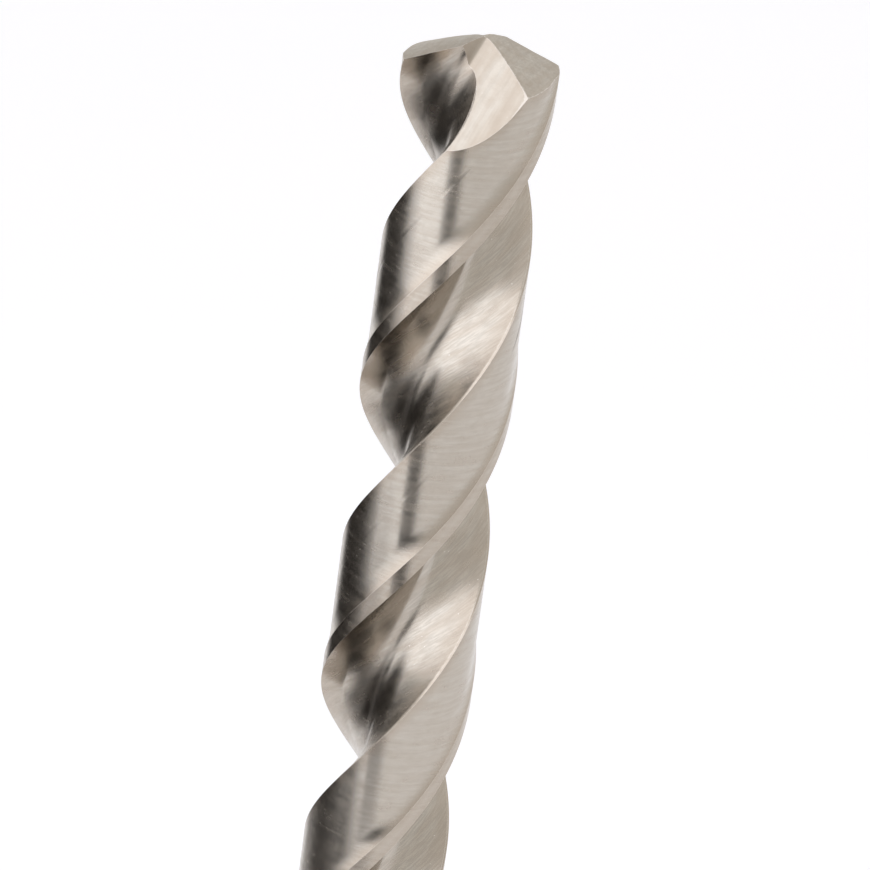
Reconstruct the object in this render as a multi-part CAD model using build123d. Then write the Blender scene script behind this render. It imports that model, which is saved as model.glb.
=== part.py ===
"""Twist drill, 13 mm, jobber length, high helix, with a split point.

One solid, in millimetres. The origin is the centre of the flat shank end and +Z
runs along the axis to the point, so the drill stands on its shank.
"""
from build123d import *
import math
import os

# ---------------------------------------------------------------- driving dimensions
DIAMETER = 13.0
OVERALL_LENGTH = 151.0
FLUTE_LENGTH = 101.0           # from the point to where the flutes have run out
LEAD = 57.0                    # height of one full turn of the flutes, right hand
SHANK_DIAMETER = 13.0
SHANK_CHAMFER = 0.5

# body: two raised margins, with the land behind each one cut back
CLEARANCE_DIAMETER = 12.5
MARGIN_ANGLE = 13.1            # degrees of the circle that a margin takes
STEP_ANGLE = 9.0               # degrees that the hollow behind a margin takes
LAND_ANGLE = 86.7              # degrees from the leading edge to the heel
HEEL_FLAT_ANGLE = 1.4          # degrees of the flat that breaks the heel's edge

# flute section: a straight rake face, then a chain of tangent arcs to the heel
RAKE_FOOT = (-4.45, -0.05)     # where the rake face ends, its edge being at (-6.5, 0)
RAKE_HEADING = -11.0           # degrees, direction in which the chain sets off
FLUTE_ARCS = ((13.5, 12.0), (2.7, 47.0), (11.7, 18.2))    # radius, degrees turned

# point
POINT_HEIGHT = 2.55            # chisel edge above the outer corners
CORNER_ANGLE = 13.2            # where the first lip's outer corner stands, from +X
POINT_ANGLE = 135.0
RELIEF_TILT = 21.6             # lean of the cone that the relief is ground on
RELIEF_AZIMUTH = 5.05
RELIEF_APEX = (-7.02, 0.76, 5.55)    # from the axis at the corners' height

# split notch: a flat floor and a steep wall, with a small radius between them
FLOOR_NORMAL = (-0.340, -0.722, 0.603)
FLOOR_OFFSET = 1.556           # from the axis at the corners' height, along the normal
WALL_NORMAL = (0.550, -0.810, 0.204)
WALL_OFFSET = 0.690
NOTCH_RADIUS = 0.5

# run-out: each flute moves outwards along the rim of the wheel until it has left the body
WHEEL_RADIUS = 34.0
FLUTE_MIDDLE_ANGLE = -135.0    # the side to which the first flute opens, in the section
RUN_OUT_TRAVEL = 5.07          # how far outwards the flute has moved at its end
RUN_OUT_SECTIONS = 13

# ---------------------------------------------------------------- worked-out values
RADIUS = DIAMETER / 2
CLEARANCE_RADIUS = CLEARANCE_DIAMETER / 2
CORNER_Z = OVERALL_LENGTH - POINT_HEIGHT
FLUTE_END_Z = OVERALL_LENGTH - FLUTE_LENGTH
TURN_PER_MM = 360.0 / LEAD
RELIEF_HALF_ANGLE = POINT_ANGLE / 2 - RELIEF_TILT
RUN_OUT_DROP = math.sqrt(WHEEL_RADIUS ** 2 - (WHEEL_RADIUS - RUN_OUT_TRAVEL) ** 2)
RUN_OUT_TOP = FLUTE_END_Z + RUN_OUT_DROP
HEEL_ANGLE = HEEL_FLAT_ANGLE - LAND_ANGLE
STEP_END_ANGLE = -MARGIN_ANGLE - STEP_ANGLE
HALF_TURN = 180.0
REACH = 9.0                    # how far a cutting shape stands out past the body
TOP_ALLOWANCE = 2.0            # stock above the point before it is ground
POINT_ROOM = 6.0               # how far below the corners the relief is cut
CONE_HEIGHT = 40.0
WEDGE_SIZE = 14.0


def polar(radius, degrees):
    """A point of the section at a radius and an angle from the leading edge."""
    angle = math.radians(degrees)
    return (radius * math.cos(angle), radius * math.sin(angle))


def twist_at(height):
    """Angle of the first leading edge at a height, in degrees from +X."""
    return CORNER_ANGLE + (height - CORNER_Z) * TURN_PER_MM


def flute_chain():
    """The arcs of one flute, from the foot of the rake face to the heel."""
    start = Vector(*RAKE_FOOT)
    heading = Vector(*polar(1.0, RAKE_HEADING))
    arcs = []
    for radius, turned in FLUTE_ARCS:
        arc = JernArc(start, heading, radius, -turned)
        arcs.append(arc)
        start = arc @ 1
        heading = arc % 1
    return arcs


def land_outline():
    """Margin, hollow step and cut-back land, from the leading edge to the heel."""
    step_start = polar(RADIUS, -MARGIN_ANGLE)
    step_end = polar(CLEARANCE_RADIUS, STEP_END_ANGLE)
    along_land = polar(1.0, STEP_END_ANGLE + 90)
    margin = CenterArc((0, 0), RADIUS, -MARGIN_ANGLE, MARGIN_ANGLE)
    step = TangentArc(step_end, step_start, tangent=along_land)
    land = CenterArc((0, 0), CLEARANCE_RADIUS, HEEL_ANGLE, STEP_END_ANGLE - HEEL_ANGLE)
    return [margin, step, land]


def half_section():
    """One land and the flute in front of the other land."""
    chain = flute_chain()
    heel_flat = Line(chain[-1] @ 1, polar(CLEARANCE_RADIUS, HEEL_ANGLE))
    rake = Line((-RADIUS, 0), RAKE_FOOT)
    return land_outline() + chain + [heel_flat, rake]


def full_section(half):
    """Both halves as one face: the second half is the first, turned round."""
    edges = list(half)
    for edge in half:
        edges.append(edge.rotate(Axis.Z, HALF_TURN))
    return make_face(edges)


def twisted(face, low, high):
    """A section carried up the helix from one height to another."""
    placed = face.rotate(Axis.Z, twist_at(low)).translate((0, 0, low))
    rise = high - low
    return Solid.extrude_linear_with_rotation(
        placed, (0, 0, low), (0, 0, rise), rise * TURN_PER_MM
    )


def fluted_body():
    """The working length: lands, margins and both flutes."""
    section = full_section(half_section()).face()
    return twisted(section, RUN_OUT_TOP, OVERALL_LENGTH + TOP_ALLOWANCE)


def unfluted_body():
    """Margins on a cut-back body, from the shank up to the working length."""
    ring = CenterArc((0, 0), CLEARANCE_RADIUS, HALF_TURN, HALF_TURN + HEEL_ANGLE)
    corner = Line(polar(CLEARANCE_RADIUS, HALF_TURN), polar(RADIUS, HALF_TURN))
    section = full_section(land_outline() + [ring, corner]).face()
    return twisted(section, FLUTE_END_Z, RUN_OUT_TOP)


def flute_void():
    """The space that one flute takes, open well past the body."""
    chain = flute_chain()
    heel = chain[-1] @ 1
    edge = Vector(*polar(CLEARANCE_RADIUS, HEEL_ANGLE))
    below = (edge.X, -REACH)
    corner = (-REACH, -REACH)
    side = (-REACH, 0)
    straight = [
        Line(heel, edge),
        Line(edge, below),
        Line(below, corner),
        Line(corner, side),
        Line(side, (-RADIUS, 0)),
        Line((-RADIUS, 0), RAKE_FOOT),
    ]
    return make_face(chain + straight).face()


def run_out():
    """The end of one flute: its section moves outwards along the wheel's rim."""
    void = flute_void()
    sections = []
    for index in range(RUN_OUT_SECTIONS):
        below_top = RUN_OUT_DROP * index / (RUN_OUT_SECTIONS - 1)
        outwards = WHEEL_RADIUS - math.sqrt(WHEEL_RADIUS ** 2 - below_top ** 2)
        shift = polar(outwards, FLUTE_MIDDLE_ANGLE)
        height = RUN_OUT_TOP - below_top
        moved = void.translate((shift[0], shift[1], 0))
        sections.append(moved.rotate(Axis.Z, twist_at(height)).translate((0, 0, height)))
    return Solid.make_loft([section.outer_wire() for section in sections])


def relief_cutter():
    """What is ground away behind one lip: a block less the relief cone."""
    tilt = math.radians(RELIEF_TILT)
    azimuth = math.radians(RELIEF_AZIMUTH)
    down = Vector(
        math.sin(tilt) * math.cos(azimuth), math.sin(tilt) * math.sin(azimuth), -math.cos(tilt)
    )
    apex = Vector(RELIEF_APEX[0], RELIEF_APEX[1], RELIEF_APEX[2] + CORNER_Z)
    spread = CONE_HEIGHT * math.tan(math.radians(RELIEF_HALF_ANGLE))
    cone = Solid.make_cone(0, spread, CONE_HEIGHT, Plane(origin=apex, z_dir=down))
    block_low = CORNER_Z - POINT_ROOM
    block_height = OVERALL_LENGTH + 2 * TOP_ALLOWANCE - block_low
    block = Solid.make_cylinder(REACH, block_height, Plane(origin=(0, 0, block_low)))
    return block - cone


def notch_cutter():
    """What one notch takes: above its floor and in front of its wall."""
    floor = Vector(*FLOOR_NORMAL).normalized()
    wall = Vector(*WALL_NORMAL).normalized()
    groove = floor.cross(wall).normalized()
    # the line where floor and wall meet, at its nearest point to the axis's corner height
    cosine = floor.dot(wall)
    spread = 1 - cosine ** 2
    foot = floor * ((FLOOR_OFFSET - WALL_OFFSET * cosine) / spread)
    foot += wall * ((WALL_OFFSET - FLOOR_OFFSET * cosine) / spread)
    along_floor = floor.cross(groove)
    if along_floor.dot(wall) < 0:
        along_floor = -along_floor
    plane = Plane(origin=foot + Vector(0, 0, CORNER_Z), x_dir=along_floor, z_dir=groove)
    # in this plane the floor lies along x; the wall rises at the angle between the faces
    rise = math.degrees(math.acos(cosine))
    up = 1 if plane.y_dir.dot(floor) > 0 else -1
    wall_end = polar(WEDGE_SIZE, up * (HALF_TURN - rise))
    corners = [
        (0, 0),
        (WEDGE_SIZE, 0),
        (WEDGE_SIZE, up * WEDGE_SIZE),
        (wall_end[0], up * WEDGE_SIZE),
        wall_end,
    ]
    face = plane * make_face(Polyline(*corners, close=True))
    wedge = extrude(face, amount=WEDGE_SIZE, both=True)
    inner = wedge.edges().filter_by(Axis((0, 0, 0), groove)).sort_by_distance(plane.origin)[:1]
    return wedge.fillet(NOTCH_RADIUS, inner)


def drill():
    """Shank, run-out and fluted length as one solid, with its point ground."""
    end = run_out()
    lower = unfluted_body() - end - end.rotate(Axis.Z, HALF_TURN)
    shank = Solid.make_cylinder(SHANK_DIAMETER / 2, FLUTE_END_Z)
    shank = shank.chamfer(SHANK_CHAMFER, None, shank.edges().group_by(Axis.Z)[0])
    whole = shank + lower + fluted_body()
    for cutter in (relief_cutter(), notch_cutter()):
        whole = whole - cutter - cutter.rotate(Axis.Z, HALF_TURN)
    return whole


os.makedirs("parts", exist_ok=True)
part = drill()
export_step(part, "parts/drill_bit.step")
print("volume", round(part.volume, 1), "solids", len(part.solids()), "box", part.bounding_box())
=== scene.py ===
"""Twist drill, 13 mm, with a split point: its ground surface, finishes, studio and camera.

Shapes are worked out in millimetres, with +Z up the drill from the flat shank end, and put
into the mesh in metres. The surface is the solid's own: lands and flutes carried up a helix,
a run-out, a plain shank, and a point that is cut by relief cones and notches.
"""
import math

import bmesh
import bpy
import numpy as np
from mathutils import Matrix, Vector


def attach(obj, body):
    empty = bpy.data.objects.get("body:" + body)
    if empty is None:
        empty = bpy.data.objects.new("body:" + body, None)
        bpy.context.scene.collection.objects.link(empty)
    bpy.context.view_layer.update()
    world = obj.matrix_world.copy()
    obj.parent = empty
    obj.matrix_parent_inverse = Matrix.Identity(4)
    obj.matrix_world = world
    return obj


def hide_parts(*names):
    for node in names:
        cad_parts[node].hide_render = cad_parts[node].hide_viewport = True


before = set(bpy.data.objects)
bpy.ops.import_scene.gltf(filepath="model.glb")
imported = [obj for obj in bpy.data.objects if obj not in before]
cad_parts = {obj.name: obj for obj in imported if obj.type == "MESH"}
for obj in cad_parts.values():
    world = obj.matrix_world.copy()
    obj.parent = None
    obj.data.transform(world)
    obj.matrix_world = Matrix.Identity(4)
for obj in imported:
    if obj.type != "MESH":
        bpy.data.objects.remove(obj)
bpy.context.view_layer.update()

# ---------------- dimensions, mm and degrees
RADIUS = 6.5
CLEARANCE_RADIUS = 6.25            # the land behind each margin is cut back to this
MARGIN_ANGLE = 13.1
STEP_END_ANGLE = 28.0              # where the hollow behind the margin has met the land
HEEL_ANGLE = 85.3
RAKE_FOOT = (-4.504, -0.05)        # where the straight rake face meets the curve of the flute
RAKE_HEADING = -10.32
# the curve of the flute: radius and degrees turned of each arc, clockwise
FLUTE_ARCS = ((18.472, 4.06), (6.459, 11.611), (2.442, 41.09), (17.379, 6.99), (61.046, 1.99))
OVERALL_LENGTH = 151.0
CORNER_Z = 148.45                  # height of the outer corners of the lips
CORNER_ANGLE = 13.2
LEAD = 57.0                        # height of one turn of the flutes
SHANK_CHAMFER = 0.5
FLUTE_END_Z = 50.0
WHEEL_RADIUS = 34.0                # the flutes run out along the rim of this wheel
RUN_OUT_TRAVEL = 5.07
RUN_OUT_TOP = FLUTE_END_Z + math.sqrt(WHEEL_RADIUS ** 2 - (WHEEL_RADIUS - RUN_OUT_TRAVEL) ** 2)
FLUTE_MIDDLE_ANGLE = -135.0

RELIEF_TILT = 21.6                 # lean of the cone that each lip's relief is ground on
RELIEF_AZIMUTH = 5.05
RELIEF_APEX = np.array([-7.02, 0.76, 5.55])    # heights on the point are from CORNER_Z
RELIEF_HALF_ANGLE = 45.9
NOTCH_NORMALS = np.array([[-0.340, -0.722, 0.603], [0.550, -0.810, 0.204]])   # floor, wall
NOTCH_NORMALS = NOTCH_NORMALS / np.linalg.norm(NOTCH_NORMALS, axis=1, keepdims=True)
NOTCH_OFFSETS = np.array([1.556, 0.690])
NOTCH_RADIUS = 0.5                 # between the notch's floor and wall
POINT_DEPTH = 7.0                  # the point's faces are no lower than this below CORNER_Z
GROOVE_REACH = 6.0                 # nor further than this along the notch's groove

# ---------------- small sums that the shapes share
HALVINGS = 44
RIM_SAMPLES = 60001


def polar(radius, degrees):
    """Points at a radius and an angle: radius x (cosine, sine)."""
    angle = np.radians(degrees)
    return np.stack([radius * np.cos(angle), radius * np.sin(angle)], -1)


def between(start, end, fraction):
    """Straight line from one point to another, by fraction."""
    fraction = np.asarray(fraction)[..., None]
    return np.asarray(start) * (1 - fraction) + np.asarray(end) * fraction


def turned(points, degrees):
    """Points turned about the drill's axis, each by its own angle."""
    angle = np.radians(degrees)
    x = points[..., 0] * np.cos(angle) - points[..., 1] * np.sin(angle)
    y = points[..., 0] * np.sin(angle) + points[..., 1] * np.cos(angle)
    return np.concatenate([np.stack([x, y], -1), points[..., 2:]], -1)


def half_turned(points):
    """The same points on the drill's other half: x and y change sign."""
    return points * np.array([-1.0, -1.0, 1.0])


def twist_at(height):
    """Angle of the first leading edge: it grows evenly with height, one turn per lead."""
    return CORNER_ANGLE + (height - CORNER_Z) * 360 / LEAD


def crossing(field, low, high):
    """Where a field of one number turns positive, by halving the interval again and again."""
    low, high = np.array(low, float), np.array(high, float)
    for _ in range(HALVINGS):
        middle = (low + high) / 2
        past = field(middle) > 0
        high = np.where(past, middle, high)
        low = np.where(past, low, middle)
    return high


# ---------------- the section
FLUTE_LENGTH = sum(radius * math.radians(turn) for radius, turn in FLUTE_ARCS)


def flute_curve(along):
    """The flute by its length from the rake foot. Each arc adds its stretch of travel, which is
    its radius times the change in sine and cosine of the heading."""
    x = np.full_like(along, RAKE_FOOT[0])
    y = np.full_like(along, RAKE_FOOT[1])
    heading = math.radians(RAKE_HEADING)
    done = 0.0
    for radius, turn in FLUTE_ARCS:
        part = np.clip(along - done, 0, radius * math.radians(turn))
        x = x + radius * (np.sin(heading) - np.sin(heading - part / radius))
        y = y + radius * (np.cos(heading - part / radius) - np.cos(heading))
        heading -= math.radians(turn)
        done += radius * math.radians(turn)
    return np.stack([x, y], -1)


def hollow_step(fraction):
    """The hollow behind the margin: the arc through both its ends that leaves the land smoothly,
    so its centre is on the ray through the land's end, as far from one end as from the other."""
    start = polar(RADIUS, -MARGIN_ANGLE)
    ray = polar(1.0, -STEP_END_ANGLE)
    shadow = float(ray @ start)
    rise = CLEARANCE_RADIUS ** 2 + RADIUS ** 2 - 2 * CLEARANCE_RADIUS * shadow
    hollow_radius = rise / (2 * (shadow - CLEARANCE_RADIUS))
    centre = ray * (CLEARANCE_RADIUS + hollow_radius)
    first = start - centre
    begin = math.degrees(math.atan2(first[1], first[0]))
    sweep = -STEP_END_ANGLE + 180 - begin
    sweep = (sweep + 180) % 360 - 180
    return centre + polar(hollow_radius, begin + sweep * fraction)


HEEL_POINT = polar(CLEARANCE_RADIUS, -HEEL_ANGLE)
HEEL_TOE = flute_curve(np.array(FLUTE_LENGTH))

# the half outline, clockwise from one leading edge to the next; a station's whole part names
# the stretch and its fraction the place along it
MARGIN, STEP, LAND, HEEL, FLUTE, RAKE, HALF_END = range(7)
STRETCHES = (
    lambda part: polar(RADIUS, -MARGIN_ANGLE * part),
    hollow_step,
    lambda part: polar(CLEARANCE_RADIUS, -STEP_END_ANGLE - (HEEL_ANGLE - STEP_END_ANGLE) * part),
    lambda part: between(HEEL_POINT, HEEL_TOE, part),
    lambda part: flute_curve(FLUTE_LENGTH * (1 - part)),
    lambda part: between(RAKE_FOOT, (-RADIUS, 0), part),
)


def outline_at(station):
    """Points of the half outline at stations."""
    station = np.asarray(station, float)
    stretch = np.clip(np.floor(station), MARGIN, RAKE).astype(int)
    choices = np.stack([curve(station - stretch) for curve in STRETCHES])
    return np.take_along_axis(choices, stretch[None, ..., None], 0)[0]


def helix(station, height):
    """A station's line up the drill: its point of the section, turned with the height."""
    flat = turned(outline_at(station), twist_at(height))
    return np.concatenate([flat, np.asarray(height)[..., None]], -1)


# ---------------- the ground faces of the point
def relief(points):
    """How far points are outside the first lip's relief cone."""
    tilt, azimuth, half = np.radians([RELIEF_TILT, RELIEF_AZIMUTH, RELIEF_HALF_ANGLE])
    down = np.array([*polar(math.sin(tilt), math.degrees(azimuth)), -math.cos(tilt)])
    from_apex = points - RELIEF_APEX - np.array([0, 0, CORNER_Z])
    along = from_apex @ down
    aside = np.sqrt(np.maximum((from_apex ** 2).sum(-1) - along ** 2, 0))
    return aside * math.cos(half) - along * math.sin(half)


NOTCH_COSINE = float(NOTCH_NORMALS[0] @ NOTCH_NORMALS[1])
GROOVE = np.cross(NOTCH_NORMALS[0], NOTCH_NORMALS[1])
GROOVE = GROOVE * np.sign(GROOVE[2]) / np.linalg.norm(GROOVE)
FLOOR_FACE, FILLET_FACE, WALL_FACE = 2, 3, 4


def notch_distances(points):
    """Distances above the notch's floor and in front of its wall."""
    return (points - np.array([0, 0, CORNER_Z])) @ NOTCH_NORMALS.T - NOTCH_OFFSETS


def notch_point(above_floor, before_wall, along):
    """The point at two distances from the notch's faces and a distance along its groove."""
    wanted = np.stack([above_floor, before_wall], -1) + NOTCH_OFFSETS
    mix = np.linalg.inv(NOTCH_NORMALS @ NOTCH_NORMALS.T)
    lengthwise = np.asarray(along)[..., None] * GROOVE
    return wanted @ mix @ NOTCH_NORMALS + lengthwise + np.array([0, 0, CORNER_Z])


def fillet_shares(points):
    """How far points lie from the fillet's centre line, towards the floor and towards the wall."""
    to_floor, to_wall = np.moveaxis(NOTCH_RADIUS - notch_distances(points), -1, 0)
    spread = 1 - NOTCH_COSINE ** 2
    return (to_floor - NOTCH_COSINE * to_wall) / spread, (to_wall - NOTCH_COSINE * to_floor) / spread


def notch(points):
    """How far points are inside the first notch, and the face they are nearest: floor and wall
    are planes, and the fillet is a cylinder about the line NOTCH_RADIUS from both."""
    above_floor, before_wall = np.moveaxis(notch_distances(points), -1, 0)
    floor_share, wall_share = fillet_shares(points)
    square = floor_share ** 2 + wall_share ** 2 + 2 * NOTCH_COSINE * floor_share * wall_share
    in_fillet = (floor_share > 0) & (wall_share > 0)
    inside = np.where(in_fillet, NOTCH_RADIUS - np.sqrt(square), np.minimum(above_floor, before_wall))
    flat_face = np.where(above_floor < before_wall, FLOOR_FACE, WALL_FACE)
    return inside, np.where(in_fillet, FILLET_FACE, flat_face)


def removed(points):
    """How far points are inside what the four grinding passes take away, and the face they meet:
    0 and 1 for the two reliefs, then the first notch's faces, then 9 for the other notch."""
    inside, face = notch(points)
    fields = [relief(points), relief(half_turned(points)), inside, notch(half_turned(points))[0]]
    deepest = np.argmax(fields, 0)
    face = np.where(deepest == 2, face, np.where(deepest == 3, 9, deepest))
    return np.max(fields, 0), face


def rim(station):
    """The upper end of each station's helix, where the first grinding pass cuts it."""
    low = np.full(len(station), CORNER_Z - POINT_DEPTH)
    high = np.full(len(station), OVERALL_LENGTH + 1)
    height = crossing(lambda middle: removed(helix(station, middle))[0], low, high)
    return helix(station, height)


def face_changes():
    """The stations where the rim passes from face to face of the point: relief to floor on the
    land, then floor, fillet, wall and the other lip's relief down the flute."""
    station = np.linspace(MARGIN, HALF_END, RIM_SAMPLES)[:-1]
    face = removed(rim(station))[1]
    return station[1:][np.diff(face) != 0]


# ---------------- the drill's surface, patch by patch
# A patch is a grid of points with a flow map in mm, a finish, and each point's distance to the
# nearest sharp edge. The flow map's first number runs round the drill or across the grinding
# lines, its second up the drill or along them.
LAND_STEEL, FLUTE_STEEL, RELIEF_STEEL, NOTCH_STEEL, SHANK_STEEL, EDGE_STEEL = range(6)
BODY_ROWS = 230
RUN_OUT_ROWS = 56
RING_COLUMNS = 12                  # land that takes the flute's place where it runs out
SHANK_ROWS = 8
CHISEL_COLUMNS = 4
RELIEF_SPAN = 12.0                 # heights that are searched for the relief cone
CHISEL_BLUNTING = 0.14             # worn off the peak, and the radius over which it fades
BLUNTING_RADIUS = 0.55
RELIEF_LINES = (0.4, 0.9, 0.0)     # direction of the grinding lines on the first relief
OTHER_HALF_FLOW = 140.0            # the second half's flow map starts this much further on


def edge_filled(near, far, left, right):
    """A patch from its four edges: the two ways of joining facing edges by straight lines are
    added, and the straight-sided patch through the corners, which both contain, is taken off."""
    across = np.linspace(0, 1, len(near))[:, None, None]
    along = np.linspace(0, 1, len(left))[None, :, None]
    joined = (1 - along) * near[:, None] + along * far[:, None]
    joined = joined + (1 - across) * left[None] + across * right[None]
    corners = (1 - across) * ((1 - along) * near[0] + along * far[0])
    return joined - corners - across * ((1 - along) * near[-1] + along * far[-1])


def chained(*curves):
    """Curves end to end, without the doubled point where each meets the next."""
    return np.concatenate([curves[0]] + [curve[1:] for curve in curves[1:]])


def length_along(points):
    """Running length of lines of points, whose last two axes are the point and its numbers."""
    steps = np.linalg.norm(np.diff(points, axis=-2), axis=-1)
    start = np.zeros(steps.shape[:-1] + (1,))
    return np.concatenate([start, np.cumsum(steps, -1)], -1)


def gap_to(points, *lines):
    """Distance from points to the nearest straight piece of lines of points: each point's place
    along a piece is held between the piece's ends."""
    gaps = []
    for line in lines:
        piece = np.diff(line, axis=0)
        offset = points[..., None, :] - line[:-1]
        share = (offset * piece).sum(-1) / np.maximum((piece ** 2).sum(-1), 1e-12)
        offset = offset - np.clip(share, 0, 1)[..., None] * piece
        gaps.append(np.linalg.norm(offset, axis=-1).min(-1))
    return np.min(gaps, 0)


def groove_end(above_floor, before_wall):
    """Where lines along the groove, at given distances from its faces, come out at a relief."""
    low = np.full(np.shape(above_floor), -GROOVE_REACH)

    def outside(along):
        points = notch_point(above_floor, before_wall, along)
        return np.maximum(relief(points), relief(half_turned(points)))

    return notch_point(above_floor, before_wall, crossing(outside, low, -low))


RELIEF_END, FLOOR_END, FILLET_END, WALL_END = face_changes()
CORNER_STATION = RAKE + (CLEARANCE_RADIUS + RAKE_FOOT[0]) / (RADIUS + RAKE_FOOT[0])
COLUMNS = {
    "margin": np.linspace(MARGIN, STEP, 9),
    "step": np.linspace(STEP, LAND, 9),
    "land by relief": np.linspace(LAND, RELIEF_END, 22),
    "land by floor": np.linspace(RELIEF_END, HEEL, 11),
    "heel": np.linspace(HEEL, FLUTE, 3),
    "flute by floor": np.linspace(FLUTE, FLOOR_END, 31),
    "flute by fillet": np.linspace(FLOOR_END, FILLET_END, 8),
    "flute by wall": np.linspace(FILLET_END, WALL_END, 7),
    "flute by lip": np.linspace(WALL_END, RAKE, 19),
    "rake": np.linspace(RAKE, CORNER_STATION, 9),
    "corner": np.linspace(CORNER_STATION, HALF_END, 2),
}
DENSE_STATIONS = np.linspace(MARGIN, HALF_END, 6001)
DENSE_LENGTHS = length_along(outline_at(DENSE_STATIONS))
LAND_NAMES = ("margin", "step", "land by relief", "land by floor", "heel")
FLUTE_NAMES = ("flute by floor", "flute by fillet", "flute by wall", "flute by lip", "rake", "corner")
SHARP_STATIONS = np.array([MARGIN, STEP, HEEL, FLUTE, HALF_END])
HELIX_SLANT = 0.83                 # a gap across the helix by the same gap round the section


def stations(*names):
    """Stations of named groups of columns, end to end."""
    return chained(*[COLUMNS[name] for name in names])


def body_patch(names, finish):
    """Lands or flute: each column is a helix from the run-out to the rim of the point."""
    station = stations(*names)
    top = rim(station)[:, 2]
    height = RUN_OUT_TOP + (top - RUN_OUT_TOP)[:, None] * np.linspace(0, 1, BODY_ROWS + 1)
    points = helix(np.repeat(station[:, None], BODY_ROWS + 1, 1), height)
    round_length = np.interp(station, DENSE_STATIONS, DENSE_LENGTHS)
    flow = np.stack([np.broadcast_to(round_length[:, None], height.shape), height], -1)
    sharp = np.interp(SHARP_STATIONS, DENSE_STATIONS, DENSE_LENGTHS)
    across = np.abs(round_length[:, None] - sharp).min(-1) * HELIX_SLANT
    gap = np.minimum(across[:, None], gap_to(points, points[:, -1]))
    return points, flow, finish, gap


def rim_of(*names):
    """The rim of the point along named groups of columns."""
    return rim(stations(*names))


def point_faces():
    """The ground faces of one half of the point, each with its flow map and finish.

    The relief is filled from its edges on the plan and laid on the cone. Floor and wall are
    planes, so their filled edges stay flat. The fillet is straight lines along the groove."""
    lip = rim_of("flute by lip", "rake", "corner")[::-1]
    floor_rim = rim_of("flute by floor")[::-1]
    fillet_rim = rim_of("flute by fillet")
    wall_rim = rim_of("flute by wall")
    land_rim = rim_of("land by floor", "heel")
    relief_rim = rim_of("margin", "step", "land by relief")

    floor_reach = np.linspace(notch_distances(fillet_rim[0])[1], notch_distances(land_rim[0])[1],
                              len(floor_rim))
    floor_top = groove_end(np.zeros(len(floor_rim)), floor_reach)
    fillet_top = groove_end(*notch_distances(fillet_rim).T)
    wall_reach = np.linspace(notch_distances(fillet_rim[-1])[0], notch_distances(wall_rim[-1])[0],
                             len(wall_rim))
    wall_top = groove_end(wall_reach, np.zeros(len(wall_rim)))
    wall_top[-1] = wall_rim[-1]
    floor_top[-1] = land_rim[0]

    along_groove = np.linspace(0, 1, len(land_rim))
    floor = edge_filled(floor_top, floor_rim, between(floor_top[0], fillet_rim[0], along_groove),
                        land_rim)
    fillet = between(fillet_top[:, None], fillet_rim[:, None], along_groove[None])
    wall = edge_filled(wall_top, wall_rim, fillet[-1], np.repeat(wall_rim[-1:], len(along_groove), 0))

    chisel = between(half_turned(wall_top[0]), wall_top[0], np.linspace(0, 1, CHISEL_COLUMNS + 1))
    chisel[1:-1] = on_reliefs(chisel[1:-1])
    near = chained(half_turned(lip), half_turned(wall_top[::-1]), chisel)
    far_side = chained(fillet_top[::-1], floor_top)
    plan = edge_filled(near, relief_rim, np.repeat(near[:1], len(far_side), 0), far_side)
    ground = plan.copy()
    ground[1:-1, 1:-1] = on_first_relief(plan[1:-1, 1:-1])
    patches = [(ground, plane_flow(ground, RELIEF_LINES), RELIEF_STEEL,
                gap_to(ground, near, relief_rim, far_side))]
    for face, *edges in ((floor, floor_top, floor_rim, land_rim),
                         (fillet, fillet_top, fillet_rim), (wall, wall_top, wall_rim)):
        patches.append((face, plane_flow(face, GROOVE), NOTCH_STEEL, gap_to(face, *edges)))
    return patches


def plane_flow(points, direction):
    """Flow map of a ground face: each point's distances across and along a direction, seen
    square on to it."""
    along = np.array(direction) / np.linalg.norm(direction)
    across = np.cross(along, [0.0, 0.0, 1.0])
    across = across / np.linalg.norm(across)
    return np.stack([points @ across, points @ along], -1)


def on_first_relief(points):
    """Points moved straight up or down on to the first lip's relief cone."""
    def outside(height):
        return relief(np.concatenate([points[..., :2], height[..., None]], -1))

    low = np.full(points.shape[:-1], CORNER_Z - POINT_DEPTH)
    height = crossing(outside, low, low + RELIEF_SPAN)
    return np.concatenate([points[..., :2], height[..., None]], -1)


def on_reliefs(points):
    """Points laid on both relief cones at once, which meet along the chisel: the mean of the two
    heights, so that each half's relief gets the same edge."""
    first, second = on_first_relief(points), on_first_relief(half_turned(points))
    height = (first[..., 2:] + second[..., 2:]) / 2
    return np.concatenate([points[..., :2], height], -1)


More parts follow.
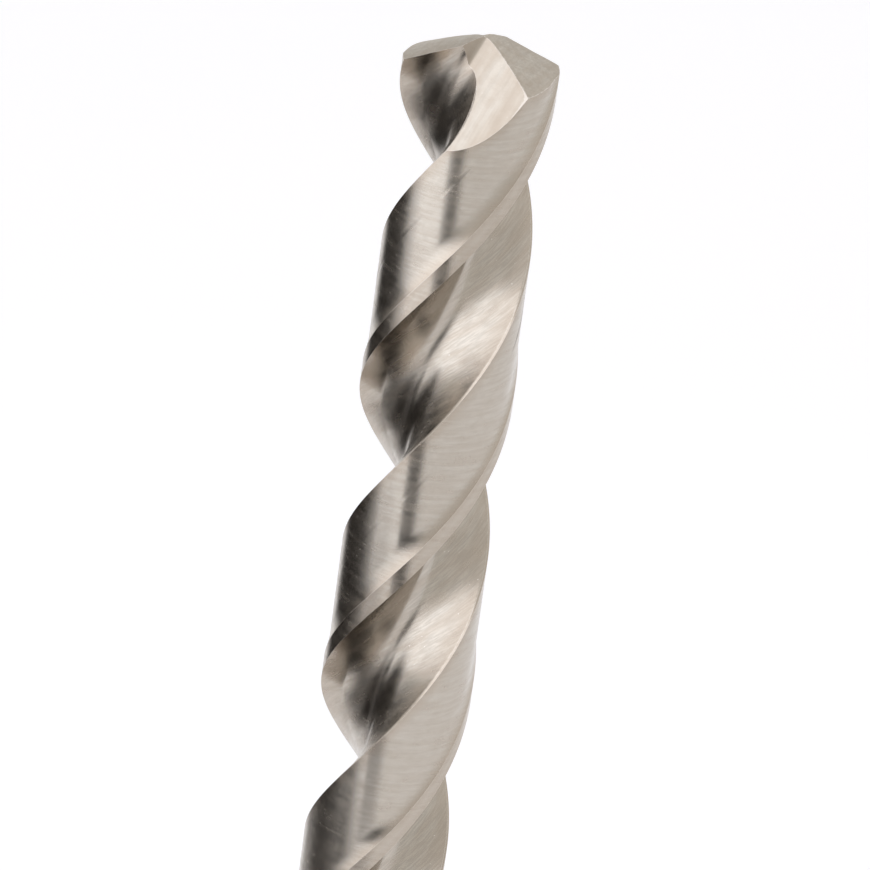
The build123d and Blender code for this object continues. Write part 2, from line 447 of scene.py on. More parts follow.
def run_out_patches():
    """The drill between shank and full flutes, a row for each height. The flute's outline moves
    outwards along the wheel's rim, and only what is inside the cleared body is kept. Land takes
    its place on both sides. At the top row that land has no width, so the columns meet the
    body's own."""
    height = np.linspace(FLUTE_END_Z, RUN_OUT_TOP, RUN_OUT_ROWS + 1)
    travel = WHEEL_RADIUS - np.sqrt(WHEEL_RADIUS ** 2 - (RUN_OUT_TOP - height) ** 2)
    shift = polar(travel, FLUTE_MIDDLE_ANGLE)
    dense = np.linspace(HEEL, CORNER_STATION, 4001)
    lengths = length_along(outline_at(dense))
    moved = outline_at(dense)[None] + shift[:, None]
    distance = np.linalg.norm(moved, axis=-1)
    inside = distance < CLEARANCE_RADIUS
    nearest = np.argmin(distance, 1)
    first = np.where(inside.any(1), np.argmax(inside, 1), nearest)
    last = np.where(inside.any(1), len(dense) - 1 - np.argmax(inside[:, ::-1], 1), nearest)
    first[-1], last[-1] = 0, len(dense) - 1

    station = stations("heel", *FLUTE_NAMES[:-1])
    share = np.interp(station, dense, lengths) / lengths[-1]
    wanted = lengths[first] + (lengths[last] - lengths[first]) * share[:, None]
    places = np.interp(wanted, lengths, dense)
    places[:, -1] = station
    flute = outline_at(places) + shift[None]
    flute_radius = np.linalg.norm(flute, axis=-1, keepdims=True)
    flute = flute * np.minimum(1, CLEARANCE_RADIUS / flute_radius)
    angle = np.degrees(np.arctan2(flute[..., 1], flute[..., 0]))
    angle = np.where(angle > 0, angle - 360, angle)

    ring = np.linspace(0, 1, RING_COLUMNS + 1)[:, None]
    heel_side = polar(CLEARANCE_RADIUS, -HEEL_ANGLE * (1 - ring) + angle[:1] * ring)
    corner_side = polar(CLEARANCE_RADIUS, angle[-1:] * (1 - ring) - 180 * ring)
    heel_side[:, -1] = flute[0, -1]
    heel_side[-1] = flute[0]
    corner_side[:, -1] = flute[-1, -1]
    corner_side[0] = flute[-1]
    station = stations(*LAND_NAMES[:-1])
    land = np.broadcast_to(outline_at(station)[:, None], (len(station), len(height), 2))
    corner = np.stack([corner_side[-1], np.broadcast_to([-RADIUS, 0.0], corner_side[-1].shape)])
    corner[0, :-1] = [-CLEARANCE_RADIUS, 0]
    patches = []
    start = np.zeros(len(height))
    step = len(COLUMNS["margin"]) - 1
    parts = ((land, LAND_STEEL, (0, step)), (heel_side, LAND_STEEL, (-1,)),
             (flute, FLUTE_STEEL, (0, -1)), (corner_side, LAND_STEEL, (0,)),
             (corner, LAND_STEEL, (0, -1)))
    for part, finish, sharp in parts:
        points = np.concatenate([turned(part, twist_at(height)),
                                 np.broadcast_to(height[:, None], part.shape[:2] + (1,))], -1)
        round_length = start + length_along(np.moveaxis(part, 0, 1)).T
        start = round_length[-1]
        flow = np.stack([round_length, np.broadcast_to(height, round_length.shape)], -1)
        gap = np.abs(round_length[:, None] - round_length[None, list(sharp)]).min(1)
        patches.append((points, flow, finish, gap * HELIX_SLANT))
    return patches


def shank_patches(lower_rows):
    """The shank below the run-out's lowest row: a ledge, the ground cylinder, the chamfer and
    the flat end, each between rings at the row's angles."""
    outline = chained(*[patch[0][:, 0] for patch in lower_rows])
    angle = np.degrees(np.arctan2(outline[:, 1], outline[:, 0]))

    def ring(radius, height):
        return np.concatenate([polar(radius, angle), np.full((len(angle), 1), height)], 1)

    rings = [
        [ring(0.0, 0.0), ring(RADIUS - SHANK_CHAMFER, 0.0)],
        [ring(RADIUS - SHANK_CHAMFER, 0.0), ring(RADIUS, SHANK_CHAMFER)],
        [ring(RADIUS, height) for height in np.linspace(SHANK_CHAMFER, FLUTE_END_Z, SHANK_ROWS + 1)],
        [ring(RADIUS, FLUTE_END_Z), outline],
    ]
    patches = []
    done = 0.0
    ledge = RADIUS + FLUTE_END_Z + SHANK_CHAMFER * (math.sqrt(2) - 2)
    sharp = np.array([RADIUS - SHANK_CHAMFER, RADIUS + SHANK_CHAMFER * (math.sqrt(2) - 1), ledge])
    for stack in rings:
        points = np.stack(stack, 1)
        profile = done + length_along(points[:1])[0]
        done = profile[-1]
        round_length = RADIUS * np.radians(np.unwrap(angle, period=360))
        flow = np.stack(np.broadcast_arrays(round_length[:, None], profile[None]), -1)
        gap = np.abs(profile[:, None] - sharp).min(-1)
        patches.append((points, flow, SHANK_STEEL, np.broadcast_to(gap, points.shape[:2])))
    return patches


def drill_patches():
    """Every patch of the drill: those of one half, and the same ones turned half round."""
    half = [body_patch(LAND_NAMES, LAND_STEEL), body_patch(FLUTE_NAMES, FLUTE_STEEL)]
    half += point_faces()
    lower = run_out_patches()
    half += lower + shank_patches(lower)
    other = [(half_turned(points), flow + OTHER_HALF_FLOW, finish, gap)
             for points, flow, finish, gap in half]
    return half + other


def blunted(points):
    """The worn chisel: the peak is lowered by a bell-shaped amount about the axis."""
    square = (points[:, :2] ** 2).sum(1)
    worn = CHISEL_BLUNTING * np.exp(-square / BLUNTING_RADIUS ** 2)
    lowered = np.where(points[:, 2] > CORNER_Z - 1, worn, 0)
    return points - np.stack([0 * worn, 0 * worn, lowered], 1)


# ---------------- from patches to one mesh
MM = 0.001                         # this and the lengths below are in metres
MICROMETRE = 1e-6
MERGE_DISTANCE = 0.2e-6
EDGE_WIDTH = 0.007e-3              # of the bevel along the sharp edges
SHARP_ANGLE = 11.0
FLOW_MAP = "flow"
GAP_ATTRIBUTE = "edge_gap"


def placed(name, data):
    """A new object in the scene."""
    thing = bpy.data.objects.new(name, data)
    bpy.context.scene.collection.objects.link(thing)
    return thing


def grid_faces(rows, across, first=0):
    """Four-sided faces of a grid of points, which are numbered row by row."""
    index = np.arange(rows * across).reshape(rows, across) + first
    quads = np.stack([index[:-1, :-1], index[1:, :-1], index[1:, 1:], index[:-1, 1:]], -1)
    return quads.reshape(-1, 4)


def drill_mesh():
    """All patches as one mesh: grids become four-sided faces, the seams are merged, and all
    faces are turned outwards."""
    corners, flows, faces, finishes, gaps = [], [], [], [], []
    count = 0
    for points, flow, finish, gap in drill_patches():
        faces.append(grid_faces(*points.shape[:2], count))
        finishes.append(np.full(len(faces[-1]), finish))
        corners.append(points.reshape(-1, 3))
        flows.append(flow.reshape(-1, 2))
        gaps.append(gap.reshape(-1))
        count += gap.size
    corners = blunted(np.concatenate(corners)) * MM
    faces = np.concatenate(faces)
    flows = np.concatenate(flows)
    mesh = bpy.data.meshes.new("drill")
    mesh.from_pydata(corners, [], faces)
    flow_map = mesh.uv_layers.new(name=FLOW_MAP)
    flow_map.data.foreach_set("uv", flows[faces].astype(np.float32).ravel())
    mesh.polygons.foreach_set("material_index", np.concatenate(finishes).astype(np.int32))
    edge_gap = mesh.attributes.new(GAP_ATTRIBUTE, "FLOAT", "POINT")
    edge_gap.data.foreach_set("value", np.concatenate(gaps).astype(np.float32))
    shape = bmesh.new()
    shape.from_mesh(mesh)
    bmesh.ops.remove_doubles(shape, verts=shape.verts, dist=MERGE_DISTANCE)
    bmesh.ops.recalc_face_normals(shape, faces=shape.faces)
    shape.to_mesh(mesh)
    shape.free()
    mesh.polygons.foreach_set("use_smooth", np.ones(len(mesh.polygons), bool))
    mesh.set_sharp_from_angle(angle=math.radians(SHARP_ANGLE))
    return mesh


# ---------------- finishes
STEEL = (0.550, 0.510, 0.452)
TANNED_AND_SHADED_STEEL = (0.430, 0.358, 0.288)     # where grinding heat has tinted it, and the colour of the painted shade near the sharp edges
# bright scratches and specks, and the painted highlight on the worn rim of the sharp edges
BRIGHT_STEEL_AND_HIGHLIGHT = (0.86, 0.83, 0.79)
DULL_STEEL = (0.300, 0.268, 0.230)       # the darker of the lines and of the grain
STREAK_SIZE = (0.17, 0.35, 1.0)          # bumps of the broad streak for each bump of the fine line
SCRATCH_SHIFT = (31.0, 17.0, 0.0)        # takes the scratches' noise away from the lines' noise
SCRATCH_PATCHES = (0.9, 0.7, 0.0)        # patches of scratches to a mm
SCRATCH_LEVELS = (0.72, 0.4, 0.06)       # level without scratches, its fall by Share, soft edge
RAGGED_PER_MM = (4.0, 4.0, 4.0)          # breaks in the worn rim
LINE_RANGE = (0.36, 0.62)                # noise between which a line goes from clear to dull
STREAK_RANGE = (0.35, 0.65)              # the same for a streak's tan


def joined(tree, socket, value):
    """Puts a number, or the output of another node, into a socket."""
    if isinstance(value, bpy.types.NodeSocket):
        tree.links.new(value, socket)
    elif value is not None:
        socket.default_value = value


def fed(tree, kind, values, **settings):
    """The first output of a new node with settings, whose inputs take values in their order."""
    node = tree.nodes.new(kind)
    for name, value in settings.items():
        setattr(node, name, value)
    for socket, value in zip(node.inputs, values):
        joined(tree, socket, value)
    return node.outputs[0]


def calc(tree, operation, *values):
    """One step of arithmetic."""
    return fed(tree, "ShaderNodeMath", values, operation=operation)


def vector_calc(tree, operation, *values):
    """One step of arithmetic on three numbers at once."""
    return fed(tree, "ShaderNodeVectorMath", values, operation=operation)


def triple(tree, *values):
    """Three numbers as one vector."""
    return fed(tree, "ShaderNodeCombineXYZ", values)


def eased(tree, value, low, high, start=0.0, end=1.0):
    """Goes smoothly from start to end while the value goes from low to high."""
    node = tree.nodes.new("ShaderNodeMapRange")
    node.interpolation_type = "SMOOTHSTEP"
    for name, part in zip(("Value", "From Min", "From Max", "To Min", "To Max"),
                          (value, low, high, start, end)):
        joined(tree, node.inputs[name], part)
    return node.outputs["Result"]


def flow_place(tree):
    """Place on the flow map in mm."""
    node = tree.nodes.new("ShaderNodeUVMap")
    node.uv_map = FLOW_MAP
    return node.outputs["UV"]


def solid_place(tree):
    """Place in the drill's own frame in mm."""
    node = tree.nodes.new("ShaderNodeTexCoord")
    return vector_calc(tree, "MULTIPLY", node.outputs["Object"], (1 / MM, 1 / MM, 1 / MM))


def cloudy(tree, place, detail=2.0, roughness=0.5):
    """Even noise from 0 to 1, about one bump to a unit of place."""
    node = tree.nodes.new("ShaderNodeTexNoise")
    joined(tree, node.inputs["Vector"], place)
    node.inputs["Scale"].default_value = 1.0
    node.inputs["Detail"].default_value = detail
    node.inputs["Roughness"].default_value = roughness
    return node.outputs["Fac"]


def new_effect(name, inputs, outputs):
    """An empty node group with number inputs, given with their first values, and outputs."""
    group = bpy.data.node_groups.new(name, "ShaderNodeTree")
    for label, value in inputs.items():
        socket = group.interface.new_socket(label, in_out="INPUT", socket_type="NodeSocketFloat")
        socket.default_value = value
    for label in outputs:
        group.interface.new_socket(label, in_out="OUTPUT", socket_type="NodeSocketFloat")
    return group, group.nodes.new("NodeGroupInput").outputs, group.nodes.new("NodeGroupOutput").inputs


def grinding_lines():
    """Lines left by a grinding wheel. Across and Along are bumps to a mm, Wander is how far in
    mm a line strays, and Slant how far it goes aside for each mm upwards. Height is the fine
    line, Streak a broad soft one."""
    group, given, put_out = new_effect(
        "grinding_lines", {"Across": 6.0, "Along": 0.3, "Wander": 0.05, "Wander Size": 1.0,
                           "Slant": 0.0},
        ("Height", "Streak"))
    place = flow_place(group)
    stray = cloudy(group, vector_calc(group, "MULTIPLY", place, triple(
        group, given["Wander Size"], given["Wander Size"], 0.0)), 2.0)
    stray = calc(group, "MULTIPLY", calc(group, "SUBTRACT", stray, 0.5), given["Wander"])
    parts = group.nodes.new("ShaderNodeSeparateXYZ")
    joined(group, parts.inputs[0], place)
    aside = calc(group, "MULTIPLY", parts.outputs["Y"], given["Slant"])
    aside = calc(group, "ADD", aside, stray)
    place = vector_calc(group, "ADD", place, triple(group, aside, stray, 0.0))
    line = vector_calc(group, "MULTIPLY", place, triple(group, given["Across"], given["Along"], 0.0))
    broad = vector_calc(group, "MULTIPLY", line, STREAK_SIZE)
    joined(group, put_out["Height"], cloudy(group, line, 2.0, 0.55))
    joined(group, put_out["Streak"], cloudy(group, broad, 2.0, 0.55))
    return group


def uneven_tone():
    """Soft blotches of tone, with Per mm of them to a mm."""
    group, given, put_out = new_effect("uneven_tone", {"Per mm": 0.6}, ("Tone",))
    size = triple(group, given["Per mm"], given["Per mm"], given["Per mm"])
    place = vector_calc(group, "MULTIPLY", solid_place(group), size)
    joined(group, put_out["Tone"], eased(group, cloudy(group, place, 4.0, 0.6), 0.3, 0.7))
    return group


def scratches():
    """Thin curved scratches: the level lines of a stretched noise, kept only in some patches.
    Width is a scratch's share of the noise's range, Share how much of the surface has them: it
    lowers the level above which another, rounder noise lets them show."""
    group, given, put_out = new_effect(
        "scratches", {"Across": 1.2, "Along": 0.35, "Width": 0.012, "Share": 0.4}, ("Scratch",))
    place = flow_place(group)
    line = vector_calc(group, "MULTIPLY", place, triple(group, given["Across"], given["Along"], 0.0))
    level = cloudy(group, vector_calc(group, "ADD", line, SCRATCH_SHIFT), 1.5)
    gap = calc(group, "ABSOLUTE", calc(group, "SUBTRACT", level, 0.5))
    mark = eased(group, gap, 0.0, given["Width"], 1.0, 0.0)
    patch = cloudy(group, vector_calc(group, "MULTIPLY", place, SCRATCH_PATCHES), 2.0)
    most, fall, soft = SCRATCH_LEVELS
    least = calc(group, "SUBTRACT", most, calc(group, "MULTIPLY", given["Share"], fall))
    kept = eased(group, patch, least, calc(group, "ADD", least, soft))
    joined(group, put_out["Scratch"], calc(group, "MULTIPLY", mark, kept))
    return group


def specks():
    """Small round specks, Per mm cells to a mm, in a Share of the cells."""
    group, given, put_out = new_effect("specks", {"Per mm": 3.0, "Share": 0.1, "Size": 0.2},
                                       ("Speck",))
    size = triple(group, given["Per mm"], given["Per mm"], given["Per mm"])
    cells = group.nodes.new("ShaderNodeTexVoronoi")
    cells.inputs["Scale"].default_value = 1.0
    joined(group, cells.inputs["Vector"], vector_calc(group, "MULTIPLY", solid_place(group), size))
    chance = group.nodes.new("ShaderNodeSeparateColor")
    joined(group, chance.inputs["Color"], cells.outputs["Color"])
    chosen = calc(group, "LESS_THAN", chance.outputs[0], given["Share"])
    dot = eased(group, cells.outputs["Distance"], calc(group, "MULTIPLY", given["Size"], 0.4),
                given["Size"], 1.0, 0.0)
    joined(group, put_out["Speck"], calc(group, "MULTIPLY", dot, chosen))
    return group


def edge_wear_highlight_and_shade():
    """Wear, heat tint, painted highlight and painted shade along the sharp edges, from the distance in
    mm that the mesh keeps. The first output is a thin broken bright rim of about Width: wear, and a
    painted highlight. The second is a broad soft band of about Reach: heat tint, and painted shade
    near the edges."""
    group, given, put_out = new_effect("edge_wear_highlight_and_shade", {"Width": 0.06, "Reach": 1.2}, ("Worn And Highlight", "Heat Tint And Shade"))
    node = group.nodes.new("ShaderNodeAttribute")
    node.attribute_name = GAP_ATTRIBUTE
    gap = node.outputs["Fac"]
    place = solid_place(group)
    ragged = cloudy(group, vector_calc(group, "MULTIPLY", place, RAGGED_PER_MM), 3.0, 0.65)
    width = calc(group, "MULTIPLY", given["Width"], eased(group, ragged, 0.35, 0.65, 0.15, 2.2))
    joined(group, put_out["Worn And Highlight"], eased(group, gap, calc(group, "MULTIPLY", width, 0.4), width,
                                         1.0, 0.0))
    joined(group, put_out["Heat Tint And Shade"], eased(group, gap, 0.0, given["Reach"], 1.0, 0.0))
    return group


EFFECTS = {maker.__name__: maker() for maker in (grinding_lines, uneven_tone, scratches, specks,
                                                 edge_wear_highlight_and_shade)}
# Each finish: its roughness, which way its shine is drawn out, the values of the effects (grain is
# finer blotches), and how strongly each acts: on the bump, in micrometres in the order of HEIGHTS,
# and on the colour, as shares of the change to another steel in the order of SHADES.
HEIGHTS = ("line", "scratch", "tone", "speck", "grain")
# The heat band near the sharp edges is heat tint and painted shade; the worn rim along them is wear
# and a painted highlight.
SHADES = (("tone", TANNED_AND_SHADED_STEEL), ("line", DULL_STEEL), ("grain", DULL_STEEL),
          ("streak", TANNED_AND_SHADED_STEEL), ("heat_and_shade", TANNED_AND_SHADED_STEEL), ("scratch", BRIGHT_STEEL_AND_HIGHLIGHT),
          ("speck", BRIGHT_STEEL_AND_HIGHLIGHT), ("worn", BRIGHT_STEEL_AND_HIGHLIGHT))
FINISHES = {
    "land_steel": dict(
        rough=0.185, rough_change=0.05, anisotropic=0.5, turn=0.25, lines=(1.0, 6.0, 0.08, 1.8),
        tone=0.8, grain=7.0, scratch=(1.0, 4.0, 0.007, 0.45), speck=(3.0, 0.04, 0.14),
        edge=(0.03, 1.1), heights=(0.4, 0.3, 0.3, 1.0, 0.12),
        shades=(0.15, 0.1, 0.1, 0.25, 0.5, 0.12, 0.35, 0.15)),
    "flute_steel": dict(
        rough=0.17, rough_change=0.06, anisotropic=0.5, turn=0.0, lines=(5.6, 0.85, 0.1, 0.5, 0.8),
        tone=0.5, grain=6.0, scratch=(0.5, 0.3, 0.003, 0.12), speck=(3.2, 0.07, 0.17),
        edge=(0.045, 1.8), heights=(2.8, 0.4, 0.8, 2.0, 0.15),
        shades=(0.2, 0.32, 0.1, 0.35, 0.4, 0.35, 0.75, 0.15)),
    "relief_steel": dict(
        rough=0.36, rough_change=0.06, anisotropic=0.3, turn=0.0, lines=(4.0, 0.35, 0.1, 0.8),
        tone=1.6, grain=5.0, scratch=(0.9, 0.5, 0.012, 0.35), speck=(3.5, 0.1, 0.22),
        edge=(0.05, 0.9), heights=(2.4, 1.0, 2.5, 1.0, 0.6),
        shades=(0.45, 0.16, 0.28, 0.25, 0.2, 0.15, 0.3, 0.45)),
    "notch_steel": dict(
        rough=0.28, rough_change=0.05, anisotropic=0.45, turn=0.0, lines=(3.0, 0.16, 0.08, 0.6),
        tone=0.7, grain=6.0, scratch=(0.9, 0.4, 0.008, 0.25), speck=(3.0, 0.05, 0.18),
        edge=(0.03, 0.9), heights=(6.5, 1.0, 1.5, 1.0, 0.2),
        shades=(0.4, 0.18, 0.1, 0.6, 0.2, 0.15, 0.2, 0.25)),
    "shank_steel": dict(
        rough=0.22, rough_change=0.05, anisotropic=0.6, turn=0.25, lines=(0.35, 7.0, 0.06, 0.6),
        tone=0.5, grain=7.0, scratch=(0.4, 1.2, 0.008, 0.4), speck=(3.0, 0.05, 0.16),
        edge=(0.06, 0.8), heights=(1.5, 1.0, 0.5, 1.0, 0.12),
        shades=(0.25, 0.16, 0.1, 0.3, 0.1, 0.15, 0.3, 0.5)),
    # the honed bevel along the sharp edges: its strong heat share is heat tint, and painted shade that
    # dims its highlight
    "edge_steel": dict(
        rough=0.36, rough_change=0.08, anisotropic=0.0, turn=0.0, lines=(4.0, 1.0, 0.1, 1.0),
        tone=2.5, grain=6.0, scratch=(0.9, 0.9, 0.012, 0.2), speck=(4.0, 0.15, 0.25),
        edge=(0.1, 0.4), heights=(1.0, 0.5, 1.0, 1.0, 0.3),
        shades=(0.7, 0.1, 0.3, 0.3, 0.9, 0.1, 0.2, 0.3)),
}


def effect(tree, name, *values):
    """An effect placed in a material with its own values, in the order of its inputs."""
    node = tree.nodes.new("ShaderNodeGroup")
    node.node_tree = EFFECTS[name]
    for socket, value in zip(node.inputs, values):
        socket.default_value = value
    return node.outputs


def shaded(tree, base, other, share):
    """A colour moved towards another by a share."""
    node = tree.nodes.new("ShaderNodeMix")
    node.data_type = "RGBA"
    joined(tree, node.inputs["Factor"], share)
    joined(tree, node.inputs[6], base if isinstance(base, bpy.types.NodeSocket) else (*base, 1))
    joined(tree, node.inputs[7], (*other, 1))
    return node.outputs[2]


def new_material(name):
    """A material, its node tree and its shader."""
    material = bpy.data.materials.new(name)
    material.use_nodes = True
    tree = material.node_tree
    return material, tree, tree.nodes["Principled BSDF"]


def finish_steel(name, look):
    """Ground steel: lines, blotches, scratches, specks and worn edges act on colour, roughness and
    bumps. Near the sharp edges the colour also takes a painted highlight on the worn rim, and heat
    tint with painted shade."""
    material, tree, shader = new_material(name)
    lines = effect(tree, "grinding_lines", *look["lines"])
    edge = effect(tree, "edge_wear_highlight_and_shade", *look["edge"])
    marks = {
        "line": eased(tree, lines["Height"], *LINE_RANGE),
        "streak": eased(tree, lines["Streak"], *STREAK_RANGE),
        "tone": effect(tree, "uneven_tone", look["tone"])["Tone"],
        "grain": effect(tree, "uneven_tone", look["grain"])["Tone"],
        "scratch": effect(tree, "scratches", *look["scratch"])["Scratch"],
        "speck": effect(tree, "specks", *look["speck"])["Speck"],
        # heat tint, and painted shade near the sharp edges, as in the hollow behind each margin
        "heat_and_shade": edge["Heat Tint And Shade"],
        # wear, and a painted highlight along the sharp edges
        "worn": edge["Worn And Highlight"],
    }
    colour = STEEL
    for (mark, other), share in zip(SHADES, look["shades"]):
        colour = shaded(tree, colour, other, calc(tree, "MULTIPLY", marks[mark], share))
    joined(tree, shader.inputs["Base Color"], colour)

    heights = dict(zip(HEIGHTS, look["heights"]))
    height = calc(tree, "MULTIPLY", lines["Height"], heights.pop("line"))
    for mark, share in heights.items():
        height = calc(tree, "ADD", height, calc(tree, "MULTIPLY", marks[mark], share))
    bump = tree.nodes.new("ShaderNodeBump")
    bump.inputs["Distance"].default_value = MICROMETRE
    joined(tree, bump.inputs["Height"], height)
    joined(tree, shader.inputs["Normal"], bump.outputs["Normal"])

    rough = look["rough"]
    for mark in ("streak", "tone"):
        change = calc(tree, "MULTIPLY", marks[mark], look["rough_change"])
        rough = calc(tree, "ADD", change, rough)
    joined(tree, shader.inputs["Roughness"], rough)
    shader.inputs["Metallic"].default_value = 1
    shader.inputs["Anisotropic"].default_value = look["anisotropic"]
    shader.inputs["Anisotropic Rotation"].default_value = look["turn"]
    tangent = tree.nodes.new("ShaderNodeTangent")
    tangent.direction_type = "UV_MAP"
    tangent.uv_map = FLOW_MAP
    joined(tree, shader.inputs["Tangent"], tangent.outputs["Tangent"])
    return material


# ---------------- the piece
drill = placed("drill", drill_mesh())
honed = drill.modifiers.new("honed_edges", "BEVEL")
honed.width = EDGE_WIDTH
honed.segments = 2
honed.limit_method = "ANGLE"
honed.angle_limit = math.radians(SHARP_ANGLE)
honed.use_clamp_overlap = False
honed.harden_normals = True
honed.material = EDGE_STEEL
for finish_name, look in FINISHES.items():
    drill.data.materials.append(finish_steel(finish_name, look))
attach(drill, "root")
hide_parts("drill_bit")


# ---------------- camera
FOCAL_PIXELS = 7152.236            # in a picture 870 pixels wide
PICTURE_WIDTH = 870
SENSOR_WIDTH = 36.0
CAMERA_PLACE = np.array([0.0, -0.53856, 0.38527])
CAMERA_DIP = math.radians(23.741)
CAMERA_ROLL = math.radians(-7.763)
CORNER_HEIGHT_AT = np.array([481.398, 62.902])    # picture place of the axis at the lips' corners


def camera_rows():
    """Right, up and forward of the camera. It first looks level with the dip, is rolled, and is
    then swung so that the lips' corners fall on their place in the picture."""
    forward = np.array([0.0, math.cos(CAMERA_DIP), -math.sin(CAMERA_DIP)])
    right = np.array([1.0, 0.0, 0.0])
    level = np.stack([right, np.cross(right, forward), forward])
    roll = np.array(Matrix.Rotation(CAMERA_ROLL, 3, "Z"))
    offset = (CORNER_HEIGHT_AT - PICTURE_WIDTH / 2) / FOCAL_PIXELS
    toward = Vector((offset[0], -offset[1], 1.0)).normalized()
    swing = np.array(Vector((0, 0, 1)).rotation_difference(toward).to_matrix())
    return swing @ roll @ level


def add_camera():
    """The camera, which looks down its own -Z."""
    lens = bpy.data.cameras.new("camera")
    lens.sensor_width = SENSOR_WIDTH
    lens.lens = FOCAL_PIXELS / PICTURE_WIDTH * SENSOR_WIDTH
    lens.clip_start = 0.01
    camera = placed("camera", lens)
    place = np.eye(4)
    place[:3, :3] = (camera_rows() * np.array([[1], [1], [-1]])).T
    place[:3, 3] = CAMERA_PLACE
    camera.matrix_world = Matrix(place.tolist())
    bpy.context.scene.camera = camera


# ---------------- studio
WORLD_LIGHT = (0.80, 0.79, 0.775)
PAPER_COLOUR = (0.93, 0.925, 0.915)
PAPER_FILL = (0.215, 0.22, 0.26)   # brings the lit paper to white, only where it is seen
PAPER_SIZE = 3.0
SHEET_ROWS = 41
CARD_ROWS = 60
CARD_COLUMNS = 80
CARD_LIFT = 0.0004                 # each card is this much above the one before
SHEET_FOOT = 0.002


def ramp(value, low, high):
    """Rises smoothly from 0 at low to 1 at high: 3t2 - 2t3."""
    part = np.clip((value - low) / (high - low), 0, 1)
    return part * part * (3 - 2 * part)


def seen(tree):
    """1 for rays that look at a surface: from the camera, by reflection or through glass."""
    rays = tree.nodes.new("ShaderNodeLightPath").outputs
    most = calc(tree, "MAXIMUM", rays["Is Camera Ray"], rays["Is Glossy Ray"])
    return calc(tree, "MAXIMUM", most, rays["Is Transmission Ray"])


def staged(name, points, cover, material):
    """A grid of points as one sheet with an attribute, cover, that fades it out at its edges.
    The camera doesn't see it."""
    mesh = bpy.data.meshes.new(name)
    mesh.from_pydata(points.reshape(-1, 3), [], grid_faces(*points.shape[:2]))
    attribute = mesh.attributes.new("cover", "FLOAT", "POINT")
    attribute.data.foreach_set("value", cover.astype(np.float32).ravel())
    mesh.materials.append(material)
    sheet = placed(name, mesh)
    sheet.visible_camera = False
    return sheet


def see_through(name, colour, glows):
    """A material that is there only as far as the sheet's cover says."""
    material, tree, _ = new_material(name)
    nodes, links = tree.nodes, tree.links
    nodes.clear()
    cover = nodes.new("ShaderNodeAttribute")
    cover.attribute_name = "cover"
    clear = nodes.new("ShaderNodeBsdfTransparent")
    surface = nodes.new("ShaderNodeEmission" if glows else "ShaderNodeBsdfDiffuse")
    surface.inputs["Color"].default_value = (*colour, 1)
    mix = nodes.new("ShaderNodeMixShader")
    out = nodes.new("ShaderNodeOutputMaterial")
    links.new(cover.outputs["Fac"], mix.inputs["Fac"])
    links.new(clear.outputs["BSDF"], mix.inputs[1])
    links.new(surface.outputs[0], mix.inputs[2])
    links.new(mix.outputs["Shader"], out.inputs["Surface"])
    return material


def reflected_only(sheet):
    """Takes no light from the drill or the paper: the sheet is there only in reflections."""
    sheet.visible_diffuse = False
    sheet.visible_shadow = False


# Cards on the paper round the drill: azimuth from and to, their two soft edges in degrees,
# distance from and to, their two soft edges in metres, and the card's darkness.
FLOOR_CARDS = (
    (130, 272, 38, 48, 0.036, 0.150, 0.050, 0.040, 1.0),
    (150, 312, 40, 50, 0.028, 0.090, 0.020, 0.040, 0.85),
    (115, 207, 22, 12, 0.100, 0.750, 0.050, 0.330, 1.0),
    (134, 238, 30, 22, 0.105, 0.200, 0.040, 0.015, 1.0),
    (241, 270, 2.0, 13, 0.150, 0.380, 0.012, 0.020, 1.0),
)
CARD_COLOUR = (0.030, 0.027, 0.025)


def floor_card(number, material, first, last, first_soft, last_soft, near, far, near_soft, far_soft,
               darkness):
    """A ring sector just above the paper, whose cover rises from its four edges inwards."""
    angle = np.linspace(first, last, CARD_COLUMNS)[:, None]
    reach = np.linspace(near, far, CARD_ROWS)[None, :]
    shape = np.broadcast_shapes(angle.shape, reach.shape)
    height = np.full(shape, CARD_LIFT * (number + 1))
    cover = ramp(angle, first, first + first_soft) * ramp(-angle, -last, last_soft - last)
    cover = cover * ramp(reach, near, near + near_soft) * ramp(-reach, -far, far_soft - far)
    points = np.concatenate([polar(reach, angle), height[..., None]], -1)
    reflected_only(staged("floor_card_%d" % number, points, cover * darkness, material))


# Screens that stand round the drill: azimuth from and to, soft edges in degrees, distance,
# top and its soft edge in metres, colour.
SCREENS = (
    (246, 345, 14, 30, 0.38, 0.46, 0.14, (0.76, 0.745, 0.72)),
    (-45, 118, 40, 24, 0.39, 0.46, 0.14, (0.86, 0.85, 0.83)),
    (92, 172, 20, 34, 0.78, 0.90, 0.30, (0.60, 0.59, 0.58)),
)


def upright(angle, distance, top, rows):
    """Heights of an upright sheet bent round the drill, and its points."""
    height = np.linspace(SHEET_FOOT, top, rows)[None, :]
    shape = np.broadcast_shapes(angle.shape, height.shape)
    flat = np.broadcast_to(polar(distance, angle), shape + (2,))
    return height, np.concatenate([flat, np.broadcast_to(height, shape)[..., None]], -1)


def screen(number, first, last, first_soft, last_soft, distance, top, top_soft, colour):
    """An upright sheet bent round the drill, which fades out at its ends and its top."""
    angle = np.linspace(first, last, CARD_COLUMNS)[:, None]
    height, points = upright(angle, distance, top, SHEET_ROWS)
    cover = ramp(angle, first, first + first_soft) * ramp(-angle, -last, last_soft - last)
    cover = cover * ramp(-height, -top, top_soft - top)
    name = "screen_%d" % number
    reflected_only(staged(name, points, cover, see_through(name, colour, True)))


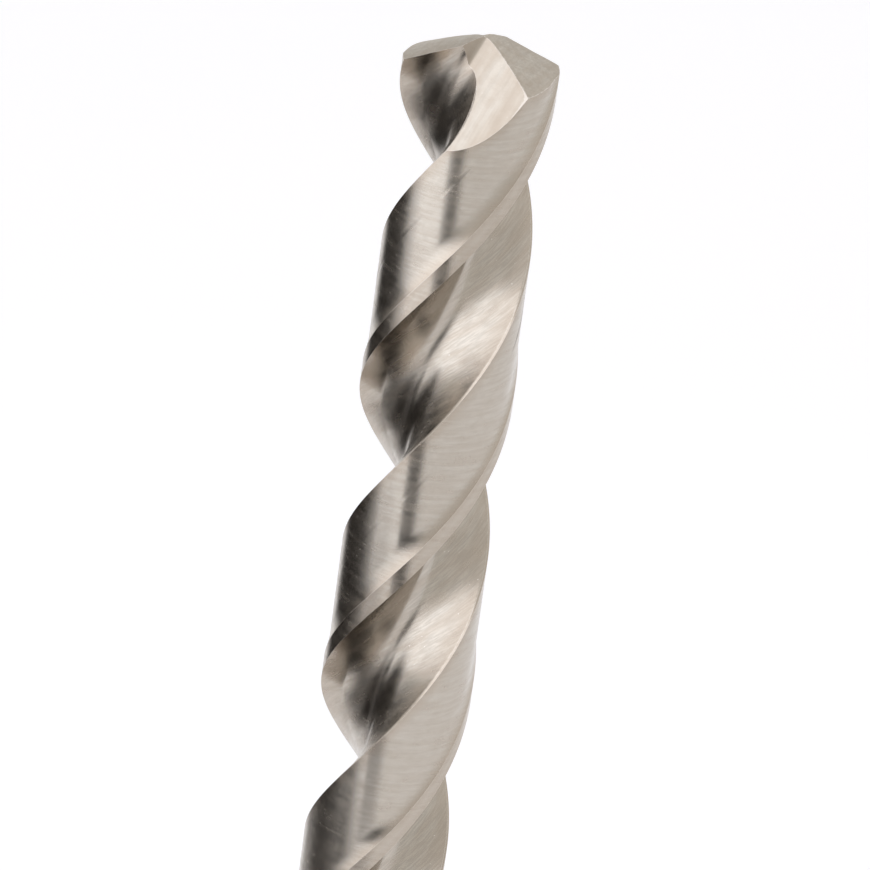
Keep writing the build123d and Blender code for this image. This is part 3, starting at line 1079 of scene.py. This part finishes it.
SOFTBOX_LIGHT = (1.76, 1.77, 1.84)
SOFTBOX_DISTANCE = 0.18
SOFTBOX_SPAN = (155.0, 283.0)              # azimuths of the sheet's ends, beyond its soft edges
SOFTBOX_LEFT = (189.0, 180.0, 0.050, 0.100)    # left edge low down and high up, and between heights
SOFTBOX_RIGHT = (244.0, 263.0, 0.095, 0.200)   # the same for its right edge
SOFTBOX_SOFT = 10.0                        # degrees to each side of an edge
SOFTBOX_HEIGHT = 0.52
SOFTBOX_TOP_SOFT = 0.10
SOFTBOX_FOOT = (0.22, 0.020, 0.095)        # cover at the foot, and the heights between which it rises


def add_softbox():
    """An upright glowing sheet bent round the drill, which stands on the paper. Its left and
    right edges move with the height, and its foot is fainter."""
    azimuth = np.linspace(*SOFTBOX_SPAN, 2 * SHEET_ROWS)[:, None]
    height, points = upright(azimuth, SOFTBOX_DISTANCE, SOFTBOX_HEIGHT, 2 * SHEET_ROWS)

    def edge(low, high, start, end):
        return low + (high - low) * ramp(height, start, end)

    left, right = edge(*SOFTBOX_LEFT), edge(*SOFTBOX_RIGHT)
    cover = ramp(azimuth - left, -SOFTBOX_SOFT, SOFTBOX_SOFT)
    cover = cover * ramp(right - azimuth, -SOFTBOX_SOFT, SOFTBOX_SOFT)
    cover = cover * ramp(-height, -SOFTBOX_HEIGHT, SOFTBOX_TOP_SOFT - SOFTBOX_HEIGHT)
    foot, low, high = SOFTBOX_FOOT
    cover = cover * (foot + (1 - foot) * ramp(height, low, high))
    staged("softbox", points, cover, see_through("softbox_glow", SOFTBOX_LIGHT, True))


def add_paper():
    """The paper floor. Where it is looked at, a fill brings it up to white."""
    size = PAPER_SIZE
    mesh = bpy.data.meshes.new("paper")
    mesh.from_pydata([(-size, -size, 0), (size, -size, 0), (size, size, 0), (-size, size, 0)], [],
                     [(0, 1, 2, 3)])
    paper, tree, shader = new_material("paper")
    shader.inputs["Base Color"].default_value = (*PAPER_COLOUR, 1)
    shader.inputs["Roughness"].default_value = 0.9
    shader.inputs["Specular IOR Level"].default_value = 0.1
    shader.inputs["Emission Color"].default_value = (*PAPER_FILL, 1)
    joined(tree, shader.inputs["Emission Strength"], seen(tree))
    mesh.materials.append(paper)
    placed("floor", mesh)


def add_world():
    """Even light from all round, which is white where it is looked at."""
    world = bpy.data.worlds.new("studio")
    world.use_nodes = True
    tree = world.node_tree
    light = shaded(tree, WORLD_LIGHT, (1.0, 1.0, 1.0), seen(tree))
    joined(tree, tree.nodes["Background"].inputs["Color"], light)
    bpy.context.scene.world = world


add_camera()
add_paper()
add_world()
add_softbox()
black = see_through("black_card", CARD_COLOUR, False)
for number, values in enumerate(FLOOR_CARDS):
    floor_card(number, black, *values)
for number, values in enumerate(SCREENS):
    screen(number, *values)
bpy.context.scene.view_settings.view_transform = "Standard"
